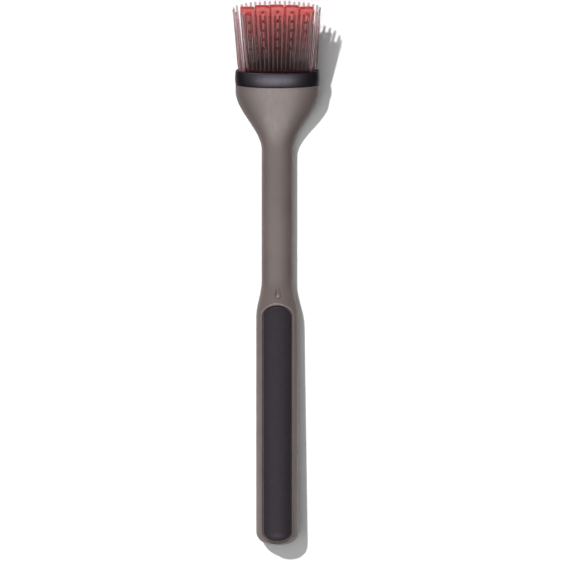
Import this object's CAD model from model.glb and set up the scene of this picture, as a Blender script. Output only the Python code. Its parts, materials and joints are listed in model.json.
"""The looks of the silicone pastry brush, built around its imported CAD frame.

Lengths in the constants below are millimetres, as in the CAD source, unless their comment says metres. MM
turns them to metres where meshes are made. "Station" is the distance along the handle from its tail end. The
head has its own frame: x across, depth towards the front of the brush, and out along the bristles.
"""
import json
import math
import random

import bmesh
import bpy
import numpy as np
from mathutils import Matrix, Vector


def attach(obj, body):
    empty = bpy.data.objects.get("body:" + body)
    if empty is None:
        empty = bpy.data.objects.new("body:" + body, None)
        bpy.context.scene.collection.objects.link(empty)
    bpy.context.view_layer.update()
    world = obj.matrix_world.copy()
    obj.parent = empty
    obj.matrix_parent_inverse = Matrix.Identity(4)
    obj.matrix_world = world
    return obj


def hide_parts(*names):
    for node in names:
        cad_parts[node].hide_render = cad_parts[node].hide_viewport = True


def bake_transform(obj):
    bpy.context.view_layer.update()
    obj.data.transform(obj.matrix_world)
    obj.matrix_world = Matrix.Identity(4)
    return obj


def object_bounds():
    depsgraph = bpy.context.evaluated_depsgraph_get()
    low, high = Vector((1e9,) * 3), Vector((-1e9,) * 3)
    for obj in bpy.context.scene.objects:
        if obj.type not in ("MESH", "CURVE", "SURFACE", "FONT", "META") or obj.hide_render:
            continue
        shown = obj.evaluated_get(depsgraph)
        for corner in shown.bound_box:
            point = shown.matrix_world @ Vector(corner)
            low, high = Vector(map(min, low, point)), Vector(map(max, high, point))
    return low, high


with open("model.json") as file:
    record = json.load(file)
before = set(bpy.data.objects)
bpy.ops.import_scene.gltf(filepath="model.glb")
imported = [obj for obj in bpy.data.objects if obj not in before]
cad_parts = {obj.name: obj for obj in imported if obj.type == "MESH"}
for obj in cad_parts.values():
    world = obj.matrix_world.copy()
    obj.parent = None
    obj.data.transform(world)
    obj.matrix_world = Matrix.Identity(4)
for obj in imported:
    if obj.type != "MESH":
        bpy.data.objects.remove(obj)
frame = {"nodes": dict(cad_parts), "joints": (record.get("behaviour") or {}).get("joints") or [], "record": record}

CAD_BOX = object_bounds()
MM = 0.001
JOINTS = {joint["name"]: joint for joint in frame["joints"]}

# Head frame, read from the joints: the flex hinge sits at the top of the bristle pad
PAD_TOP = 10.2
OUT = Vector(JOINTS["head_release"]["axis"]).normalized()
ACROSS = Vector((1, 0, 0))
FRONT = ACROSS.cross(OUT)
HEAD_ORIGIN = Vector(JOINTS["bristle_flex"]["pos_m"]) / MM - PAD_TOP * OUT
HEAD_TILT = math.atan2(OUT.z, OUT.y)

# Handle outline: half-widths and half-depths at their stations
TAIL_Y = CAD_BOX[0].y / MM
GRIP_HALF_WIDTH = 16.4
NECK_HALF_WIDTH = 12.2
MOUTH_HALF_WIDTH = 32.35
TAIL_HALF_DEPTH = 13.4
GRIP_HALF_DEPTH = 9.2
NECK_HALF_DEPTH = 6.7
MOUTH_HALF_DEPTH = 10.0
TAIL_ROUND = 11.0
TAIL_POWER = 2.3
GRIP_END = 176.0
NECK_START = 204.0
FLARE_START = 305.0
FLARE_END = 350.6
MOUTH = HEAD_ORIGIN.y - TAIL_Y
BEND_START = 300.0
BEND_END = 346.0
FLAT_CUT = 0.9
SHELL_THICKNESS = 1.6
SECTION_POWER = 2.2
MOUTH_POWER = 2.4
LIP_ROUND = 0.6
SEAM_DEPTH = 0.3
SEAM_SHARE = 0.99999
SPLICE = 190.0

# Soft grip inlays, which end in half-ellipses, and the shell's lip around them
INLAY_HALF_WIDTH = 11.8
INLAY_START = 2.5
INLAY_END = 185.0
INLAY_ARCH = 8.3
INLAY_GAP = 0.75
INLAY_ROUND = 1.15
INLAY_CROWN = 0.45
INLAY_FLOOR = 1.6
BEAD_HEIGHT = 0.28
BEAD_WIDTH = 1.4
LIP_EDGE = 0.35
CREASE_WIDTH = 0.02
CREASE_RISE = 0.05
GRIP_FLOOR_GAP = 0.4

# Raised drop above the grip, whose profile is (share of the outline, lift), from the skin up and inwards
DROP_STATION = 188.0
DROP_LENGTH = 7.6
DROP_RADIUS = 3.1
DROP_PROFILE = [(1.0, -0.3), (1.0, 0.4), (0.96, 0.6), (0.88, 0.7), (0.76, 0.62), (0.7, 0.35), (0.0, 0.35)]
DROP_NARROWING = 0.45
DROP_MIDDLE_SHARE = 0.32
DROP_POINT_SHARE = 0.3

# Collar
PARTING_GAP = 0.3
COLLAR_TOP = 11.4
COLLAR_EDGE = 0.35
COLLAR_BULGE = 0.35
RIM_WALL = 1.3
RIM_ROUND = 0.9
RIM_EDGE = 0.3
COLLAR_WALL_ROW = 9.0
LEDGE = 4.2
LEDGE_INSET = 2.7

# Bristles
BRISTLE_COUNT = 40
BRISTLE_ROOT = 9.6
BRISTLE_TIP = 60.5
TIP_SLOPE = 0.21
BRISTLE_ROOT_INSET = 3.45
ROOT_RADIUS = 1.3
TIP_RADIUS = 0.8
TIP_HALF_WIDTH = 32.7
TIP_HALF_DEPTH = 12.3
TIP_POWER = 2.2
TAPER_POWER = 1.7
TIP_TURNS = (30, 55, 75, 87)
SHOULDER = 0.6
SHOULDER_END = 0.2
SIDE_SPLIT = 24.0
LEFT_SPLAY = 1.2
SPLAY_FROM = 0.85
BRISTLE_WOBBLE = 0.22
BRISTLE_SEED = 7

# Flaps
FLAP_COUNT = 5
FLAP_PITCH = 11.35
FLAP_WIDTH = 11.0
FLAP_THICKNESS = 1.2
FLAP_ROW = 2.3
FLAP_LEAN = 1.7
FLAP_ROOT_SHARE = 0.85
FLAP_SHIFT = 0.1
FLAP_CROWN = 3.2
FLAP_TIP = 62.6
FLAP_BURIED = 0.4
FLAP_CORNER = 1.0
FLAP_CURL = 0.35
FLAP_BEVEL = 0.22
FLAP_SEED = 11
ROW_SHIFT = 0.45
HOLE_RADIUS = 0.95
HOLE_STRETCH = 1.25
HOLE_COUNT = 5
HOLE_PITCH = 7.2
HOLE_FROM_TIP = 3.8

# Rows and columns of the meshes
SPLICE_COLUMNS = 24
ARCH_STEPS = 8
STRAIGHT_STEPS = 56
TAIL_STEPS = 28
LIP_STEPS = 5
BEAD_STEPS = 10
OUTER_ROWS = 14
NECK_STEP = 2.0
BEND_STEP = 1.0
LIP_STEP = 0.15
LIP_ZONE = 2.0
GRIP_SHOULDER_ROWS = 8
GRIP_INNER_ROWS = 9
DROP_SIDES = 48
COLLAR_COLUMNS = 220
COLLAR_ROWS = 8
OVAL_SAMPLES = 4001
RINGS = 14
SIDES = 16
CELL_SIDES = 32
CELL_RINGS = 4
CELL_SPACING = 1.3
FLAP_ROOT_ROWS = 8
BEVEL_SEGMENTS = 2
BEVEL_ANGLE = math.radians(50)
SHARP_ANGLE = math.radians(35)

# Guards against dividing by nothing, and how near an edge a point counts as on it
SMALLEST_SECTION = 1e-4
SMALLEST_SHARE = 1e-9
ON_EDGE = 1e-6

# Clean-up of the meshes, in metres
MERGE_DISTANCE = 1e-6
SLIVER = 1e-7

# Colours of the materials. The red is multiplied by the two that follow it
NYLON_BLOTCH = 0.08
TAUPE = (0.102, 0.079, 0.073)
BLACK_NYLON = (0.0055, 0.0045, 0.006)
CORE_GREY = (0.045, 0.043, 0.045)
SOFT_BLACK = (0.0172, 0.0136, 0.0184)
CLEAR = (0.94, 0.88, 0.89)
SMOKE = (0.45, 0.22, 0.25)
RED = (0.50, 0.055, 0.05)
DEEP_IN_HEAD = (0.10, 0.12, 0.14)
AT_THE_TIPS = (0.92, 0.92, 0.92)
FLOOR_DARK = (0.86, 0.86, 0.86)
FLOOR_LIGHT = (0.88, 0.88, 0.88)

# View
IMAGE_SPAN = 445.0
SENSOR = 36.0
AIM = Vector((7.8, -11.1, 0.0))

# View, light and floor, with distances and sizes in metres
CAMERA_DISTANCE = 4.0
VIEW_END = 50.0
FLOOR_SIZE = 6.0
KEY_FROM = Vector((-0.47, 0.60, 1.0))
KEY_ANGLE = math.radians(2.6)
KEY_STRENGTH = 3.5
SOFTBOX_FROM = Vector((-0.04, -0.52, 0.855))
LAMP_DISTANCE = 3.0
SOFTBOX_SIZE = 1.15
SOFTBOX_POWER = 37.0
RIM_FROM = Vector((-0.15, 0.88, 0.45))
RIM_SIZE = 0.8
RIM_POWER = 40.0
SKY_FROM = Vector((-0.19, -0.2, 0.96))
SKY_NEAR = math.cos(math.radians(13))
SKY_FAR = math.cos(math.radians(43))
SKY_HIGH = 1.34
SKY_LOW = 0.11


# ---------------------------------------------------------------- shapes of the handle

def smooth(value, low, high):
    """0 up to low, 1 from high on, and an S-curve between them."""
    share = np.clip((value - low) / (high - low), 0.0, 1.0)
    return share * share * (3 - 2 * share)


def tail_share(station):
    """The share of the full section that is left at a station in the rounded tail, and 1 past it."""
    missing = max(1 - station / TAIL_ROUND, 0.0)
    return (1 - missing**TAIL_POWER) ** (1 / TAIL_POWER)


def half_width(station):
    width = GRIP_HALF_WIDTH + (NECK_HALF_WIDTH - GRIP_HALF_WIDTH) * smooth(station, GRIP_END, NECK_START)
    width += (MOUTH_HALF_WIDTH - NECK_HALF_WIDTH) * smooth(station, FLARE_START, FLARE_END)
    return width * tail_share(station)


def full_half_depth(station):
    """Half the depth of the handle, before the tail's rounding."""
    depth = TAIL_HALF_DEPTH + (GRIP_HALF_DEPTH - TAIL_HALF_DEPTH) * min(station / GRIP_END, 1.0)
    depth += (NECK_HALF_DEPTH - GRIP_HALF_DEPTH) * smooth(station, GRIP_END, NECK_START)
    return depth + (MOUTH_HALF_DEPTH - NECK_HALF_DEPTH) * smooth(station, FLARE_START, FLARE_END)


def tilt(station):
    """The angle of the handle's section, which grows through the bend to the head's tilt."""
    return HEAD_TILT * min(max((station - BEND_START) / (BEND_END - BEND_START), 0.0), 1.0)


def middle_height(station):
    """Height of the section's middle: level along the handle, then an arc, then straight to the mouth."""
    if station <= BEND_START:
        return full_half_depth(station) - FLAT_CUT
    rate = HEAD_TILT / (BEND_END - BEND_START)
    rise = -math.log(math.cos(tilt(station))) / rate
    rise += max(station - BEND_END, 0.0) * math.tan(HEAD_TILT)
    return NECK_HALF_DEPTH - FLAT_CUT + rise


def section_power(station):
    """Roundness of the section, a superellipse that gets squarer towards the mouth."""
    return SECTION_POWER + (MOUTH_POWER - SECTION_POWER) * smooth(station, FLARE_START, FLARE_END)


def handle_point(station, x_share, side, lift=0.0):
    """A point of the handle's skin, x_share of the way from the middle to the edge, raised by lift.

    side is 1 for the front and -1 for the back, which is flat where the handle rests.
    """
    share = tail_share(station)
    width = max(half_width(station), SMALLEST_SECTION)
    depth = max(full_half_depth(station) * share, SMALLEST_SECTION)
    power = section_power(station)
    x = x_share * width
    rest = max(1 - abs(x_share) ** power, 0.0)
    y = depth * rest ** (1 / power)
    slope_x = abs(x_share) ** (power - 1) / width * math.copysign(1, x_share)
    slope_y = (y / depth) ** (power - 1) / depth
    size = math.hypot(slope_x, slope_y)
    x += lift * slope_x / size
    y += lift * slope_y / size
    angle = tilt(station)
    up = side * y
    along = TAIL_Y + station - up * math.sin(angle)
    place = Vector((x, along, middle_height(station) + up * math.cos(angle)))
    if side < 0 and place.z < 0:
        place.z = max(-lift, 0.0)
    return place


def inlay_rays():
    """Half of the inlay's outline, from its top end to its tail end, in (x, station).

    Each ray is a point of the outline, the outward direction there, and the point of the shell's border that
    it faces.
    """
    top = INLAY_END - INLAY_ARCH
    low = INLAY_START + INLAY_ARCH
    rays = []
    for k in range(SPLICE_COLUMNS + 1):
        share = k / SPLICE_COLUMNS
        border = (half_width(SPLICE) * math.sin(math.pi / 2 * share), SPLICE)
        rays.append(arch_ray(math.pi / 4 * share, top, 1, border))
    for k in range(1, ARCH_STEPS + 1):
        station = SPLICE + (top - SPLICE) * k / ARCH_STEPS
        rays.append(arch_ray(math.pi / 4 * (1 + k / ARCH_STEPS), top, 1, (half_width(station), station)))
    for k in range(1, STRAIGHT_STEPS):
        station = top + (low - top) * k / STRAIGHT_STEPS
        rays.append(((INLAY_HALF_WIDTH, station), (1.0, 0.0), (half_width(station), station)))
    for k in range(TAIL_STEPS + 1):
        turn = math.pi / 2 * (1 - k / TAIL_STEPS)
        station = TAIL_ROUND * (1 - math.cos(turn) ** (2 / TAIL_POWER))
        rays.append(arch_ray(turn, low, -1, (half_width(station), station)))
    return rays


def arch_ray(turn, middle, end, border):
    """A ray on one of the inlay's end arches, where end is 1 at the top and -1 at the tail."""
    point = (INLAY_HALF_WIDTH * math.sin(turn), middle + end * INLAY_ARCH * math.cos(turn))
    outward = Vector((math.sin(turn) / INLAY_HALF_WIDTH, end * math.cos(turn) / INLAY_ARCH)).normalized()
    return point, tuple(outward), border


def whole_loop(rays):
    """The half loop of rays joined with its mirror image, as (ray, 1 on the right or -1 on the left)."""
    return [(ray, 1) for ray in rays] + [(ray, -1) for ray in reversed(rays[1:-1])]


# ---------------------------------------------------------------- mesh helpers

def make_piece(name, vertices, faces, material, body, replaced=()):
    """One visible piece from points in millimetres, riding its body if it has one, in place of CAD nodes."""
    mesh = bpy.data.meshes.new(name)
    mesh.from_pydata([tuple(Vector(v) * MM) for v in vertices], [], faces)
    mesh.validate()
    tidy = bmesh.new()
    tidy.from_mesh(mesh)
    bmesh.ops.remove_doubles(tidy, verts=tidy.verts, dist=MERGE_DISTANCE)
    bmesh.ops.dissolve_degenerate(tidy, edges=tidy.edges, dist=SLIVER)
    bmesh.ops.recalc_face_normals(tidy, faces=tidy.faces)
    tidy.to_mesh(mesh)
    tidy.free()
    mesh.shade_smooth()
    piece = bpy.data.objects.new(name, mesh)
    bpy.context.scene.collection.objects.link(piece)
    mesh.materials.append(material)
    if body:
        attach(piece, body)
    if replaced:
        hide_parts(*replaced)
    return piece


def grid_faces(rows, columns, closed=False, first=0):
    """Quads over rows by columns of vertices. With closed, each row is a ring."""
    faces = []
    wide = columns if closed else columns - 1
    for i in range(rows - 1):
        for j in range(wide):
            k = (j + 1) % columns
            faces.append((first + i * columns + j, first + i * columns + k,
                          first + (i + 1) * columns + k, first + (i + 1) * columns + j))
    return faces


def spread(*runs):
    """One rising list from runs of (start, end, step)."""
    values = set()
    for start, end, step in runs:
        count = max(int(round((end - start) / step)), 1)
        values.update(round(start + (end - start) * k / count, 4) for k in range(count + 1))
    return sorted(values)


def thicken(piece, thickness):
    """Gives an open skin its wall, grown inwards."""
    solid = piece.modifiers.new("wall", "SOLIDIFY")
    solid.thickness = thickness * MM
    solid.offset = -1


# ---------------------------------------------------------------- handle pieces

def skin_point(x, station, side, lift=0.0):
    """A point of a shell's skin, with the seam between the shells and the mouth's rounded edge cut in."""
    share = x / max(half_width(station), SMALLEST_SECTION)
    share = min(max(share, -1.0), 1.0)
    if abs(share) > SEAM_SHARE:
        lift -= SEAM_DEPTH
    to_mouth = MOUTH - station
    if to_mouth < LIP_ROUND:
        lift -= LIP_ROUND * (1 - math.sqrt(max(1 - (1 - to_mouth / LIP_ROUND) ** 2, 0.0)))
    return handle_point(station, share, side, lift)


def lip_profile(side):
    """The shell's edge around the inlay, as (distance outside the outline, lift).

    It runs over the ledge, up the wall, round its edge and over a low bead, which only the front has.
    """
    profile = [(-INLAY_GAP, -INLAY_FLOOR), (-CREASE_WIDTH, -INLAY_FLOOR)]
    profile += [(0.0, -INLAY_FLOOR + CREASE_RISE), (0.0, -LIP_EDGE)]
    for k in range(1, LIP_STEPS + 1):
        turn = math.pi / 2 * k / LIP_STEPS
        profile.append((LIP_EDGE * (1 - math.cos(turn)), -LIP_EDGE * (1 - math.sin(turn))))
    bead = BEAD_HEIGHT if side > 0 else 0.0
    for k in range(1, BEAD_STEPS + 1):
        lift = bead * math.sin(math.pi * k / BEAD_STEPS) ** 2
        profile.append((LIP_EDGE + BEAD_WIDTH * k / BEAD_STEPS, lift))
    return profile


def shell(name, side, material):
    """Rows of points from the inlay's outline out to the handle's edge, then a plain grid to the mouth."""
    loop = whole_loop(inlay_rays())
    lip = lip_profile(side)
    reach = lip[-1][0]
    vertices = []
    for offset, lift in lip:
        for (point, outward, _), mirror in loop:
            x = point[0] + outward[0] * offset
            vertices.append(skin_point(mirror * x, point[1] + outward[1] * offset, side, lift))
    for k in range(1, OUTER_ROWS + 1):
        share = math.sin(math.pi / 2 * k / OUTER_ROWS)
        for (point, outward, border), mirror in loop:
            x = point[0] + outward[0] * reach
            station = point[1] + outward[1] * reach
            x += (border[0] - x) * share
            station += (border[1] - station) * share
            vertices.append(skin_point(mirror * x, station, side))
    faces = grid_faces(len(lip) + OUTER_ROWS, len(loop), closed=True)
    lip_zone = MOUTH - LIP_ZONE
    stations = spread((SPLICE, BEND_START, NECK_STEP), (BEND_START, lip_zone, BEND_STEP),
                      (lip_zone, MOUTH, LIP_STEP))
    right = [math.sin(math.pi / 2 * k / SPLICE_COLUMNS) for k in range(SPLICE_COLUMNS + 1)]
    columns = [-share for share in reversed(right[1:])] + right
    faces += grid_faces(len(stations), len(columns), first=len(vertices))
    for station in stations:
        vertices += [skin_point(share * half_width(station), station, side) for share in columns]
    node = name.replace("_skin", "")
    piece = make_piece(name, vertices, faces, material, "handle", (node,))
    thicken(piece, SHELL_THICKNESS)


def grip(name, side, material):
    """The soft inlay, with a rounded shoulder: rows from its outline in to a line along its middle.

    The front one is crowned.
    """
    loop = whole_loop(inlay_rays())
    crown = INLAY_CROWN if side > 0 else 0.0
    vertices = []
    for k in range(GRIP_SHOULDER_ROWS + GRIP_INNER_ROWS + 1):
        shoulder = min(k / GRIP_SHOULDER_ROWS, 1.0)
        turn = math.pi / 2 * shoulder
        offset = -INLAY_GAP - INLAY_ROUND * (1 - math.cos(turn))
        drop = -INLAY_ROUND * (1 - math.sin(turn))
        share = max(k - GRIP_SHOULDER_ROWS, 0) / GRIP_INNER_ROWS
        for (point, outward, _), mirror in loop:
            x = (point[0] + outward[0] * offset) * (1 - share)
            station = point[1] + outward[1] * offset
            spine = min(max(point[1], INLAY_START + INLAY_ARCH), INLAY_END - INLAY_ARCH)
            station += (spine - station) * share
            lift = drop + crown * (1 - (x / INLAY_HALF_WIDTH) ** 2) * shoulder
            vertices.append(handle_point(station, mirror * x / half_width(station), side, lift))
    faces = grid_faces(GRIP_SHOULDER_ROWS + GRIP_INNER_ROWS + 1, len(loop), closed=True)
    node = name.replace("_inlay", "")
    piece = make_piece(name, vertices, faces, material, "handle", (node,))
    thicken(piece, INLAY_FLOOR - GRIP_FLOOR_GAP)


def drop_mark(material):
    """A plain raised drop on the front, above the grip."""
    vertices = []
    for scale, lift in DROP_PROFILE:
        for k in range(DROP_SIDES):
            angle = 2 * math.pi * k / DROP_SIDES
            taper = (1 + math.cos(angle)) / 2
            x = DROP_RADIUS * math.sin(angle) * (1 - DROP_NARROWING * taper) * scale
            reach = DROP_RADIUS + DROP_LENGTH * DROP_POINT_SHARE * taper**2
            middle = DROP_RADIUS + DROP_LENGTH * DROP_MIDDLE_SHARE
            station = DROP_STATION + (middle + reach * math.cos(angle) * scale)
            vertices.append(handle_point(station, x / half_width(station), 1, lift))
    faces = grid_faces(len(DROP_PROFILE), DROP_SIDES, closed=True)
    make_piece("raised_drop", vertices, faces, material, "handle")


# ---------------------------------------------------------------- head pieces

def head_point(x, depth, out):
    """A point of the head's own frame, in the shared one."""
    return HEAD_ORIGIN + ACROSS * x + FRONT * depth + OUT * out


def ring_angles(half_x, half_y, power, count):
    """Parameter angles of count points spaced evenly round a rounded oval."""
    fine = np.linspace(0, 2 * math.pi, OVAL_SAMPLES)
    x, y = oval_xy(half_x, half_y, power, fine)
    lengths = np.concatenate([[0], np.cumsum(np.hypot(np.diff(x), np.diff(y)))])
    wanted = (np.arange(count) + 0.5) / count * lengths[-1]
    return np.interp(wanted, lengths, fine)


def oval_xy(half_x, half_y, power, angle):
    """Points of a superellipse at the given parameter angles."""
    c = np.cos(angle)
    s = np.sin(angle)
    x = half_x * np.sign(c) * np.abs(c) ** (2 / power)
    y = half_y * np.sign(s) * np.abs(s) ** (2 / power)
    return x, y


def quarter(centre_inset, centre_out, radius, start, end, steps):
    """Points (inset, out) on an arc of a profile, angles in degrees, 0 pointing inwards and 90 out."""
    points = []
    for k in range(steps + 1):
        angle = math.radians(start + (end - start) * k / steps)
        points.append((centre_inset + radius * math.cos(angle), centre_out + radius * math.sin(angle)))
    return points


def collar_profile():
    """The collar's closed cross-section as (inset from its outline, out)."""
    low = PARTING_GAP + COLLAR_EDGE
    profile = quarter(COLLAR_EDGE, low, COLLAR_EDGE, 270, 180, steps=4)
    for k in range(1, COLLAR_ROWS):
        share = k / COLLAR_ROWS
        height = low + (COLLAR_TOP - RIM_ROUND - PARTING_GAP - COLLAR_EDGE) * share
        profile.append((-COLLAR_BULGE * math.sin(math.pi * share), height))
    profile += quarter(RIM_ROUND, COLLAR_TOP - RIM_ROUND, RIM_ROUND, 180, 90, steps=6)
    profile += quarter(RIM_WALL, COLLAR_TOP - RIM_EDGE, RIM_EDGE, 90, 0, steps=3)
    inside = RIM_WALL + RIM_EDGE
    profile += [(inside, COLLAR_WALL_ROW), (inside, LEDGE)]
    profile += [(LEDGE_INSET, LEDGE), (LEDGE_INSET, PARTING_GAP)]
    return profile


def collar(material):
    """The collar's profile swept round its outline and closed on itself."""
    count = COLLAR_COLUMNS
    angles = ring_angles(MOUTH_HALF_WIDTH, MOUTH_HALF_DEPTH, MOUTH_POWER, count)
    profile = collar_profile()
    vertices = []
    for inset, out in profile:
        x, y = oval_xy(MOUTH_HALF_WIDTH - inset, MOUTH_HALF_DEPTH - inset, MOUTH_POWER, angles)
        vertices += [head_point(float(x[k]), float(y[k]), out) for k in range(count)]
    faces = grid_faces(len(profile), count, closed=True)
    last = (len(profile) - 1) * count
    faces += [(last + k, last + (k + 1) % count, (k + 1) % count, k) for k in range(count)]
    make_piece("collar_band", vertices, faces, material, "head", ("collar",))


def bristle_line(root, tip, wobble, splay):
    """Centre points and radii of one bristle, from its root in the pad to its rounded tip.

    root and tip are (x, depth). The bristle leaves its pad bulging out a little and then runs nearly
    straight, bent slightly by its wobble and splay. Bristles are longer towards the back of the brush.
    """
    top = BRISTLE_TIP - TIP_SLOPE * tip[1] + wobble[2]
    outward = Vector((root[0] / MOUTH_HALF_WIDTH**2, root[1] / MOUTH_HALF_DEPTH**2)).normalized()
    points = []
    for k in range(RINGS):
        share = k / (RINGS - 1)
        bulge = SHOULDER * (smooth(share, 0.0, SHOULDER_END) - share)
        bend = share * share
        x = root[0] + (tip[0] - root[0]) * share + outward.x * bulge + (wobble[0] - splay) * bend
        y = root[1] + (tip[1] - root[1]) * share + outward.y * bulge + wobble[1] * bend
        out = BRISTLE_ROOT + (top - BRISTLE_ROOT) * share
        points.append((x, y, out, ROOT_RADIUS + (TIP_RADIUS - ROOT_RADIUS) * share**TAPER_POWER))
    x, y, out, radius = points[-1]
    points[-1] = (x, y, out - radius, radius)
    for turn in TIP_TURNS:
        height = math.sin(math.radians(turn))
        points.append((x, y, out - radius + radius * height, radius * math.cos(math.radians(turn))))
    return points


def even_ring(half_x, half_y, power):
    """One point for each bristle, evenly spaced round an oval, as (x, depth)."""
    angles = ring_angles(half_x, half_y, power, BRISTLE_COUNT)
    x, y = oval_xy(half_x, half_y, power, angles)
    return list(zip(x.tolist(), y.tolist()))


def bristles(material):
    """All outer bristles, sorted into the four groups that the CAD names."""
    dice = random.Random(BRISTLE_SEED)
    groups = {"front": ([], []), "back": ([], []), "left": ([], []), "right": ([], [])}
    root_half_width = MOUTH_HALF_WIDTH - BRISTLE_ROOT_INSET
    root_half_depth = MOUTH_HALF_DEPTH - BRISTLE_ROOT_INSET
    roots = even_ring(root_half_width, root_half_depth, MOUTH_POWER)
    tips = even_ring(TIP_HALF_WIDTH, TIP_HALF_DEPTH, TIP_POWER)
    for root, tip in zip(roots, tips):
        wobble = [dice.uniform(-BRISTLE_WOBBLE, BRISTLE_WOBBLE) for _ in range(3)]
        splay = LEFT_SPLAY * smooth(-tip[0] / TIP_HALF_WIDTH, SPLAY_FROM, 1.0)
        if abs(root[0]) > SIDE_SPLIT:
            name = "left" if root[0] < 0 else "right"
        else:
            name = "front" if root[1] > 0 else "back"
        vertices, faces = groups[name]
        first = len(vertices)
        line = bristle_line(root, tip, wobble, splay)
        for x, y, out, radius in line:
            for k in range(SIDES):
                turn = 2 * math.pi * k / SIDES
                vertices.append(head_point(x + radius * math.cos(turn), y + radius * math.sin(turn), out))
        faces += grid_faces(len(line), SIDES, closed=True, first=first)
        faces.append(tuple(first + k for k in reversed(range(SIDES))))
        top = first + (len(line) - 1) * SIDES
        faces.append(tuple(top + k for k in range(SIDES)))
    for name, (vertices, faces) in groups.items():
        piece = make_piece(f"{name}_bristle_row", vertices, faces, material, None,
                           (f"{name}_bristles",))
        bend_with_head(piece)


def bend_with_head(piece):
    """The roots stay in the collar, and the tips follow the flex hinge."""
    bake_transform(piece)


def flap_outline_point(angle, low, high, rounded):
    """A point of a hole cell's border in the direction of angle, from the cell's centre.

    low and high are the distances from the centre down and up to the border. With rounded, the upper corners
    are rounded off.
    """
    half_x = FLAP_WIDTH / 2
    c = math.cos(angle)
    s = math.sin(angle)
    limit_y = high if s > 0 else low
    reach = min(half_x / max(abs(c), SMALLEST_SHARE), limit_y / max(abs(s), SMALLEST_SHARE))
    x = reach * c
    y = reach * s
    if rounded and s > 0:
        corner_x = half_x - FLAP_CORNER
        corner_y = high - FLAP_CORNER
        if abs(x) > corner_x and y > corner_y:
            dx = abs(x) - corner_x
            dy = y - corner_y
            size = math.hypot(dx, dy)
            x = math.copysign(corner_x + dx / size * FLAP_CORNER, x)
            y = corner_y + dy / size * FLAP_CORNER
    return x, y


def flap_sheet():
    """A flap's flat face with its holes, as points (x, out) and quads."""
    points = []
    faces = []
    for k in range(HOLE_COUNT):
        centre = FLAP_TIP - HOLE_FROM_TIP - k * HOLE_PITCH
        high = HOLE_FROM_TIP if k == 0 else HOLE_PITCH / 2
        first = len(points)
        for ring in range(CELL_RINGS):
            share = (ring / (CELL_RINGS - 1)) ** CELL_SPACING
            for j in range(CELL_SIDES):
                angle = cell_angle(j)
                x, y = flap_outline_point(angle, HOLE_PITCH / 2, high, k == 0)
                hole_x = HOLE_RADIUS * math.cos(angle)
                hole_y = HOLE_RADIUS * HOLE_STRETCH * math.sin(angle)
                points.append((hole_x + (x - hole_x) * share, centre + hole_y + (y - hole_y) * share))
        faces += grid_faces(CELL_RINGS, CELL_SIDES, closed=True, first=first)
    low = FLAP_TIP - HOLE_FROM_TIP - (HOLE_COUNT - 0.5) * HOLE_PITCH
    bottom = PAD_TOP - FLAP_BURIED
    edge_xs = cell_bottom_xs()
    first = len(points)
    for row in range(FLAP_ROOT_ROWS):
        out = low + (bottom - low) * row / (FLAP_ROOT_ROWS - 1)
        points += [(x, out) for x in edge_xs]
    faces += grid_faces(FLAP_ROOT_ROWS, len(edge_xs), first=first)
    return points, faces


def cell_angle(side):
    """Direction of one of a hole cell's sides, chosen so that some fall exactly on the cell's corners."""
    turn = side * 2 * math.pi / CELL_SIDES
    corner = math.atan2(HOLE_PITCH / 2, FLAP_WIDTH / 2)
    return math.atan2(math.sin(turn) * math.tan(corner), math.cos(turn))


def cell_bottom_xs():
    """The x of each border point along a hole cell's bottom edge, from left to right."""
    found = set()
    for side in range(CELL_SIDES):
        x, y = flap_outline_point(cell_angle(side), HOLE_PITCH / 2, HOLE_PITCH / 2, False)
        if y < -HOLE_PITCH / 2 + ON_EDGE:
            found.add(round(x, 5))
    return sorted(found)


def flap(name, x, depth, dice, material):
    """One perforated blade, which fans and leans out from its root and is bowed a little across."""
    points, faces = flap_sheet()
    lean = math.copysign(FLAP_LEAN, depth)
    curl = dice.uniform(-FLAP_CURL, FLAP_CURL)
    shift = dice.uniform(-FLAP_SHIFT, FLAP_SHIFT)
    crown = FLAP_CROWN * (x / MOUTH_HALF_WIDTH) ** 2
    vertices = []
    for px, out in points:
        share = (out - PAD_TOP) / (FLAP_TIP - PAD_TOP)
        bow = curl * (2 * px / FLAP_WIDTH) ** 2 * share
        height = PAD_TOP + (out - PAD_TOP) * (1 - crown / (FLAP_TIP - PAD_TOP))
        fan = FLAP_ROOT_SHARE + (1 - FLAP_ROOT_SHARE) * share
        vertices.append(head_point((x + px) * fan + shift * share, depth + lean * share + bow, height))
    piece = make_piece(f"{name}_blade", vertices, faces, material, None, (name,))
    bake_solid(piece, FLAP_THICKNESS, FLAP_BEVEL)
    bend_with_head(piece)


def bake_solid(piece, thickness, bevel):
    """Turns a flat sheet into a blade with rounded edges, applied to its mesh."""
    solid = piece.modifiers.new("blade", "SOLIDIFY")
    solid.thickness = thickness * MM
    solid.offset = 0
    round_off = piece.modifiers.new("edges", "BEVEL")
    round_off.width = bevel * MM
    round_off.segments = BEVEL_SEGMENTS
    round_off.angle_limit = BEVEL_ANGLE
    graph = bpy.context.evaluated_depsgraph_get()
    final = bpy.data.meshes.new_from_object(piece.evaluated_get(graph))
    final.name = piece.name
    piece.modifiers.clear()
    piece.data = final
    final.shade_smooth()


def flaps(material):
    """The two rows of flaps, set a little apart sideways."""
    dice = random.Random(FLAP_SEED)
    for row, depth in (("front", FLAP_ROW), ("back", -FLAP_ROW)):
        for k in range(FLAP_COUNT):
            x = (k - (FLAP_COUNT - 1) / 2) * FLAP_PITCH + math.copysign(ROW_SHIFT, depth)
            flap(f"{row}_flap_{k + 1}", x, depth, dice, material)


# ---------------------------------------------------------------- materials

def new_material(name):
    """A new material with its node tree and its shader."""
    material = bpy.data.materials.new(name)
    material.use_nodes = True
    tree = material.node_tree
    return material, tree, tree.nodes["Principled BSDF"]


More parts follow.
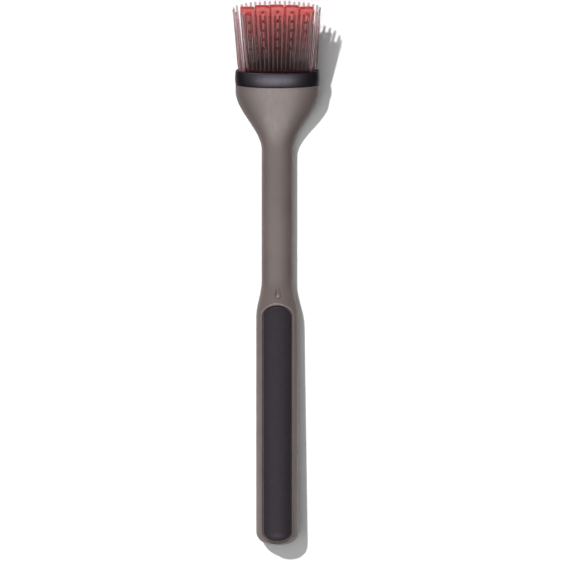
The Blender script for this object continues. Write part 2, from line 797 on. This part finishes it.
def noise(tree, scale, detail, stretch=(1, 1, 1)):
    """A noise texture in object space, where scale is in features per metre."""
    place = tree.nodes.new("ShaderNodeTexCoord")
    mapping = tree.nodes.new("ShaderNodeMapping")
    mapping.inputs["Scale"].default_value = stretch
    texture = tree.nodes.new("ShaderNodeTexNoise")
    texture.inputs["Scale"].default_value = scale
    texture.inputs["Detail"].default_value = detail
    tree.links.new(place.outputs["Object"], mapping.inputs["Vector"])
    tree.links.new(mapping.outputs["Vector"], texture.inputs["Vector"])
    return texture.outputs["Fac"]


def ramp(tree, value, low_colour, high_colour, low=0.35, high=0.65):
    """A value from low to high turned into a colour between the two given."""
    node = tree.nodes.new("ShaderNodeValToRGB")
    node.color_ramp.elements[0].position = low
    node.color_ramp.elements[0].color = (*low_colour, 1)
    node.color_ramp.elements[1].position = high
    node.color_ramp.elements[1].color = (*high_colour, 1)
    tree.links.new(value, node.inputs["Fac"])
    return node.outputs["Color"]


def between(tree, value, low, high):
    """A value from 0 to 1 brought into the range from low to high."""
    node = tree.nodes.new("ShaderNodeMapRange")
    node.inputs["To Min"].default_value = low
    node.inputs["To Max"].default_value = high
    tree.links.new(value, node.inputs["Value"])
    return node.outputs["Result"]


def bump(tree, height, strength, distance, under=None):
    """A bump with its distance in metres, on top of another one if there is one under it."""
    node = tree.nodes.new("ShaderNodeBump")
    node.inputs["Strength"].default_value = strength
    node.inputs["Distance"].default_value = distance
    tree.links.new(height, node.inputs["Height"])
    if under is not None:
        tree.links.new(under, node.inputs["Normal"])
    return node.outputs["Normal"]


def shade(colour, factor):
    """A colour made darker or lighter."""
    return tuple(min(channel * factor, 1.0) for channel in colour)


def moulded_plastic(name, colour, roughness, shine, tint=(1, 1, 1)):
    """Satin moulded nylon: slight blotches of tone, spark-eroded mould grain, and faint handling marks."""
    material, tree, shader = new_material(name)
    blotches = noise(tree, scale=38, detail=3)
    tone = ramp(tree, blotches, shade(colour, 1 - NYLON_BLOTCH), shade(colour, 1 + NYLON_BLOTCH))
    tree.links.new(tone, shader.inputs["Base Color"])
    wear = noise(tree, scale=160, detail=6, stretch=(3, 0.5, 3))
    tree.links.new(between(tree, wear, roughness - 0.05, roughness + 0.07), shader.inputs["Roughness"])
    shader.inputs["Specular IOR Level"].default_value = shine
    shader.inputs["Specular Tint"].default_value = (*tint, 1)
    soft = bump(tree, noise(tree, scale=300, detail=2), strength=0.12, distance=0.00008)
    sparks = noise(tree, scale=2600, detail=3)
    grain = bump(tree, sparks, strength=0.25, distance=0.00005, under=soft)
    tree.links.new(grain, shader.inputs["Normal"])
    return material


def soft_rubber(name, colour):
    """Matte soft-touch elastomer with a fine grain, slightly dusty."""
    material, tree, shader = new_material(name)
    specks = noise(tree, scale=240, detail=8)
    dust = ramp(tree, specks, shade(colour, 0.93), shade(colour, 1.12), low=0.4, high=0.75)
    tree.links.new(dust, shader.inputs["Base Color"])
    worn = between(tree, noise(tree, scale=90, detail=4), low=0.46, high=0.6)
    tree.links.new(worn, shader.inputs["Roughness"])
    shader.inputs["Specular IOR Level"].default_value = 0.32
    shader.inputs["Specular Tint"].default_value = (0.98, 0.9, 1, 1)
    fine = bump(tree, noise(tree, scale=3200, detail=4), strength=0.35, distance=0.00006)
    waves = bump(tree, noise(tree, scale=420, detail=2), strength=0.1, distance=0.0001, under=fine)
    tree.links.new(waves, shader.inputs["Normal"])
    return material


def height_in_head(tree):
    """0 at the silicone pads and 1 at the flaps' tips."""
    place = tree.nodes.new("ShaderNodeTexCoord")
    along = tree.nodes.new("ShaderNodeVectorMath")
    along.operation = "DOT_PRODUCT"
    along.inputs[1].default_value = OUT
    share = tree.nodes.new("ShaderNodeMapRange")
    share.inputs["From Min"].default_value = (HEAD_ORIGIN.dot(OUT) + PAD_TOP) * MM
    share.inputs["From Max"].default_value = (HEAD_ORIGIN.dot(OUT) + FLAP_TIP) * MM
    tree.links.new(place.outputs["Object"], along.inputs[0])
    tree.links.new(along.outputs["Value"], share.inputs["Value"])
    return share.outputs["Result"]


def clear_silicone():
    """Smoky clear silicone, darker where it is thicker."""
    material, tree, shader = new_material("clear_silicone_look")
    tone = ramp(tree, noise(tree, scale=60, detail=3), shade(CLEAR, 0.97), shade(CLEAR, 1.03))
    tree.links.new(tone, shader.inputs["Base Color"])
    gloss = between(tree, noise(tree, scale=500, detail=3), low=0.05, high=0.1)
    tree.links.new(gloss, shader.inputs["Roughness"])
    ripples = noise(tree, scale=900, detail=3, stretch=(1, 0.3, 1))
    tree.links.new(bump(tree, ripples, strength=0.05, distance=0.00006), shader.inputs["Normal"])
    shader.inputs["IOR"].default_value = 1.45
    shader.inputs["Specular IOR Level"].default_value = 1.0
    shader.inputs["Transmission Weight"].default_value = 1.0
    smoke = tree.nodes.new("ShaderNodeVolumeAbsorption")
    smoke.inputs["Color"].default_value = (*SMOKE, 1)
    smoke.inputs["Density"].default_value = 560
    tree.links.new(smoke.outputs["Volume"], tree.nodes["Material Output"].inputs["Volume"])
    return material


def red_silicone():
    """Satin red silicone, a little translucent at its thin edges and darker deep in the head."""
    material, tree, shader = new_material("red_silicone_look")
    tone = ramp(tree, noise(tree, scale=80, detail=3), shade(RED, 0.9), shade(RED, 1.12))
    depth = ramp(tree, height_in_head(tree), DEEP_IN_HEAD, AT_THE_TIPS, low=0.2, high=0.98)
    mix = tree.nodes.new("ShaderNodeVectorMath")
    mix.operation = "MULTIPLY"
    tree.links.new(tone, mix.inputs[0])
    tree.links.new(depth, mix.inputs[1])
    tree.links.new(mix.outputs["Vector"], shader.inputs["Base Color"])
    satin = between(tree, noise(tree, scale=400, detail=3), low=0.34, high=0.46)
    tree.links.new(satin, shader.inputs["Roughness"])
    grain = bump(tree, noise(tree, scale=1400, detail=3), strength=0.12, distance=0.00006)
    tree.links.new(grain, shader.inputs["Normal"])
    shader.inputs["Subsurface Weight"].default_value = 0.35
    shader.inputs["Subsurface Radius"].default_value = (1.0, 0.25, 0.2)
    shader.inputs["Subsurface Scale"].default_value = 0.003
    return material


def floor_material():
    """Pale matte paper."""
    material, tree, shader = new_material("pale_floor")
    tone = ramp(tree, noise(tree, scale=3, detail=2), FLOOR_DARK, FLOOR_LIGHT)
    tree.links.new(tone, shader.inputs["Base Color"])
    shader.inputs["Roughness"].default_value = 0.7
    shader.inputs["Specular IOR Level"].default_value = 0.1
    return material


# ---------------------------------------------------------------- stage

def make_floor():
    """A wide plane that the brush rests on."""
    bpy.ops.mesh.primitive_plane_add(size=FLOOR_SIZE, location=(0, 0, 0))
    floor = bpy.context.object
    floor.name = "floor"
    floor.data.materials.append(floor_material())


def make_light():
    """A hard key from the upper left, and two soft lamps that leave matte surfaces unlit."""
    lamp = bpy.data.lights.new("key", "SUN")
    lamp.angle = KEY_ANGLE
    lamp.energy = KEY_STRENGTH
    key = place_lamp(lamp, KEY_FROM)
    key.visible_glossy = False
    for name, direction, size, power in (("softbox", SOFTBOX_FROM, SOFTBOX_SIZE, SOFTBOX_POWER),
                                         ("rim", RIM_FROM, RIM_SIZE, RIM_POWER)):
        lamp = bpy.data.lights.new(name, "AREA")
        lamp.shape = "DISK"
        lamp.size = size
        lamp.energy = power
        glow = place_lamp(lamp, direction)
        glow.visible_diffuse = False
    make_sky()


def make_sky():
    """White light all round, brightest near SKY_FROM and falling off smoothly away from it."""
    world = bpy.data.worlds.new("studio")
    bpy.context.scene.world = world
    world.use_nodes = True
    tree = world.node_tree
    place = tree.nodes.new("ShaderNodeTexCoord")
    facing = tree.nodes.new("ShaderNodeVectorMath")
    facing.operation = "DOT_PRODUCT"
    facing.inputs[1].default_value = SKY_FROM.normalized()
    fall = tree.nodes.new("ShaderNodeMapRange")
    fall.interpolation_type = "SMOOTHSTEP"
    fall.inputs["From Min"].default_value = SKY_FAR
    fall.inputs["From Max"].default_value = SKY_NEAR
    fall.inputs["To Min"].default_value = SKY_LOW
    fall.inputs["To Max"].default_value = SKY_HIGH
    background = tree.nodes["Background"]
    background.inputs["Color"].default_value = (1, 1, 1, 1)
    tree.links.new(place.outputs["Generated"], facing.inputs[0])
    tree.links.new(facing.outputs["Value"], fall.inputs["Value"])
    tree.links.new(fall.outputs["Result"], background.inputs["Strength"])


def place_lamp(lamp, direction):
    """Puts a lamp in a direction from the middle of the brush, shining back at it."""
    holder = bpy.data.objects.new(lamp.name, lamp)
    bpy.context.scene.collection.objects.link(holder)
    holder.location = direction.normalized() * LAMP_DISTANCE
    holder.rotation_mode = "QUATERNION"
    holder.rotation_quaternion = direction.to_track_quat("Z", "Y")
    return holder


def make_camera():
    """Looks straight down, from far enough away that little perspective shows."""
    data = bpy.data.cameras.new("camera")
    data.sensor_width = SENSOR
    data.lens = SENSOR * CAMERA_DISTANCE / (IMAGE_SPAN * MM)
    data.clip_end = VIEW_END
    camera = bpy.data.objects.new("camera", data)
    bpy.context.scene.collection.objects.link(camera)
    camera.location = AIM * MM + Vector((0, 0, CAMERA_DISTANCE))
    bpy.context.scene.camera = camera


def paint_cad_nodes(looks):
    """Gives the CAD nodes that stay shown the look of their slot."""
    for part in frame["record"]["subparts"]:
        node = frame["nodes"][part["node"]]
        if node.hide_render:
            continue
        node.data.materials.clear()
        node.data.materials.append(looks[part["material_slot"]])
        node.data.shade_smooth()
        node.data.set_sharp_from_angle(angle=SHARP_ANGLE)


def make_looks():
    """The material of each slot."""
    return {
        "handle_nylon": moulded_plastic("taupe_nylon", TAUPE, 0.43, shine=0.85, tint=(1, 0.93, 0.90)),
        "collar_nylon": moulded_plastic("black_nylon", BLACK_NYLON, 0.29, shine=0.33, tint=(0.95, 0.87, 1)),
        "core_nylon": moulded_plastic("core_nylon_look", CORE_GREY, 0.5, shine=0.5),
        "soft_grip": soft_rubber("soft_touch_black", SOFT_BLACK),
        "clear_silicone": clear_silicone(),
        "red_silicone": red_silicone(),
    }


def main():
    looks = make_looks()
    make_camera()
    make_light()
    make_floor()
    shell("front_shell_skin", 1, looks["handle_nylon"])
    shell("back_shell_skin", -1, looks["handle_nylon"])
    grip("front_grip_inlay", 1, looks["soft_grip"])
    grip("back_grip_inlay", -1, looks["soft_grip"])
    drop_mark(looks["handle_nylon"])
    collar(looks["collar_nylon"])
    bristles(looks["clear_silicone"])
    flaps(looks["red_silicone"])
    paint_cad_nodes(looks)
    bpy.context.scene.view_settings.view_transform = "Standard"


main()
